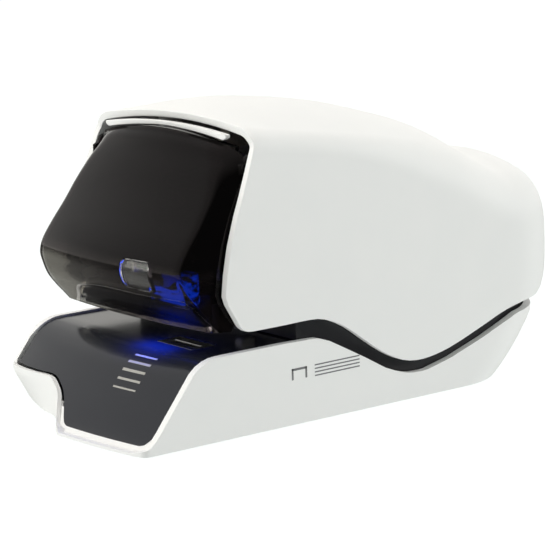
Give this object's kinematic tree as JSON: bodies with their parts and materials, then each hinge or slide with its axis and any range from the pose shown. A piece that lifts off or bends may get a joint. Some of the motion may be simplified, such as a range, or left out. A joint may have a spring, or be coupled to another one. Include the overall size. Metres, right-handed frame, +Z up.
{
  "type": "electric stapler",
  "caption": "Desktop electric stapler: white rounded housing over a paper deck, smoked hinged visor at the front, cassette, motor, gear train, cam lever and clincher inside.",
  "frame": {"origin": "middle of the footprint at the underside of the rubber feet", "axes": "+X to the right side of the stapler, +Y from the paper throat to the rear, +Z up"},
  "size_m": [0.088, 0.1856, 0.0973],
  "materials": {
    "white_shell": "satin moulded ABS",
    "deck_grey": "satin",
    "frame_dark": "satin",
    "smoked_clear": "glossy smoked polycarbonate",
    "clear": "clear",
    "steel": "zinc plated",
    "brass": "turned",
    "acetal": "moulded",
    "black_plastic": "moulded",
    "rubber": "matte",
    "circuit_board": "solder mask",
    "blue_led": "lit"
  },
  "bodies": {
    "chassis": {"base_housing": "white_shell", "top_shell": "white_shell", "deck_plate": "deck_grey", "base_bottom_plate": "frame_dark", "chassis": "frame_dark", "base_screw_1": "steel", "base_screw_2": "steel", "base_screw_3": "steel", "base_screw_4": "steel", "anvil_plate": "steel", "clincher_block": "steel", "anvil_beam": "steel", "frame_plate_left": "steel", "frame_plate_right": "steel", "tie_bar_top": "steel", "tie_bar_rear": "steel", "motor_body": "steel", "pivot_shaft": "steel", "head_bridge": "steel", "guide_rod_left": "steel", "guide_rod_right": "steel", "return_spring_left": "steel", "return_spring_right": "steel", "rubber_foot_front_left": "rubber", "rubber_foot_front_right": "rubber", "rubber_foot_rear_left": "rubber", "rubber_foot_rear_right": "rubber", "board_socket": "acetal", "paper_switch": "black_plastic", "capacitor": "black_plastic", "relay": "black_plastic", "power_inlet": "black_plastic", "led_board": "circuit_board", "main_board": "circuit_board", "led_lamp": "blue_led"},
    "visor": {"visor": "smoked_clear", "visor_window": "clear", "visor_pin_left": "steel", "visor_pin_right": "steel"},
    "cassette": {"cassette_body": "black_plastic", "cassette_cover": "deck_grey", "staple_stack": "steel", "pressure_spring": "steel"},
    "pressure_plate": {"pressure_plate": "acetal"},
    "main_gear": {"main_gear": "acetal", "main_shaft": "steel", "drive_cam": "steel"},
    "reduction_gear": {"reduction_gear": "acetal"},
    "motor_pinion": {"motor_pinion": "brass"},
    "drive_arm": {"drive_arm": "steel"},
    "driver": {"driver_carriage": "black_plastic", "driver_blade": "steel"},
    "head": {"press_foot": "black_plastic"},
    "clincher_left": {"clincher_wing_left": "steel"},
    "clincher_right": {"clincher_wing_right": "steel"},
    "paper_plunger": {"paper_plunger": "acetal"}
  },
  "joints": [
    {"name": "visor_hinge", "type": "hinge", "parent": "chassis", "child": "visor", "pos_m": [0, -0.04255, 0.0818], "axis": [-1, 0, 0], "range_deg": [0, 60]},
    {"name": "cassette_slide", "type": "slide", "parent": "head", "child": "cassette", "axis": [0, -1, 0], "range_m": [0, 0.008]},
    {"name": "pressure_plate_slide", "type": "slide", "parent": "cassette", "child": "pressure_plate", "axis": [0, 0, 1], "range_m": [0, 0.002], "stiffness_N_per_m": 20, "springref_m": -0.003, "deforming": ["pressure_spring"]},
    {"name": "main_gear_turn", "type": "hinge", "parent": "chassis", "child": "main_gear", "pos_m": [0, -0.00705, 0.0678], "axis": [1, 0, 0], "range_deg": [0, 180]},
    {"name": "reduction_gear_turn", "type": "hinge", "parent": "chassis", "child": "reduction_gear", "pos_m": [0, 0.01795, 0.0608], "axis": [1, 0, 0], "range_deg": [-610, 10]},
    {"name": "motor_turn", "type": "hinge", "parent": "chassis", "child": "motor_pinion", "pos_m": [0, 0.03845, 0.0528], "axis": [1, 0, 0], "range_deg": [-10, 2050]},
    {"name": "drive_arm_swing", "type": "hinge", "parent": "chassis", "child": "drive_arm", "pos_m": [0, 0.01795, 0.0608], "axis": [1, 0, 0], "range_deg": [0, 11.5]},
    {"name": "driver_slide", "type": "slide", "parent": "chassis", "child": "driver", "axis": [0, 0, -1], "range_m": [0, 0.0131], "stiffness_N_per_m": 12, "springref_m": -0.025, "deforming": ["return_spring_left", "return_spring_right"]},
    {"name": "head_slide", "type": "slide", "parent": "chassis", "child": "head", "axis": [0, 0, -1], "range_m": [0, 0.0041]},
    {"name": "clincher_left_fold", "type": "hinge", "parent": "chassis", "child": "clincher_left", "pos_m": [0.0136, -0.05485, 0.0211], "axis": [0, -1, 0], "range_deg": [0, 15.5]},
    {"name": "clincher_right_fold", "type": "hinge", "parent": "chassis", "child": "clincher_right", "pos_m": [0.0244, -0.05485, 0.0211], "axis": [0, 1, 0], "range_deg": [0, 15.5]},
    {"name": "paper_plunger_slide", "type": "slide", "parent": "chassis", "child": "paper_plunger", "axis": [0, 1, 0], "range_m": [0, 0.004], "stiffness_N_per_m": 40, "springref_m": -0.004}
  ],
  "couplings": [
    {"joint": "cassette_slide", "follows": "visor_hinge", "m_per_rad": 0.0076394},
    {"joint": "reduction_gear_turn", "follows": "main_gear_turn", "ratio": -3.3333},
    {"joint": "motor_turn", "follows": "main_gear_turn", "ratio": 11.333},
    {"joint": "drive_arm_swing", "follows": "main_gear_turn", "ratio": 0.063111},
    {"joint": "driver_slide", "follows": "main_gear_turn", "m_per_rad": 0.004138},
    {"joint": "head_slide", "follows": "main_gear_turn", "m_per_rad": 0.0012732},
    {"joint": "clincher_left_fold", "follows": "main_gear_turn", "ratio": 0.083333},
    {"joint": "clincher_right_fold", "follows": "main_gear_turn", "ratio": 0.083333}
  ]
}
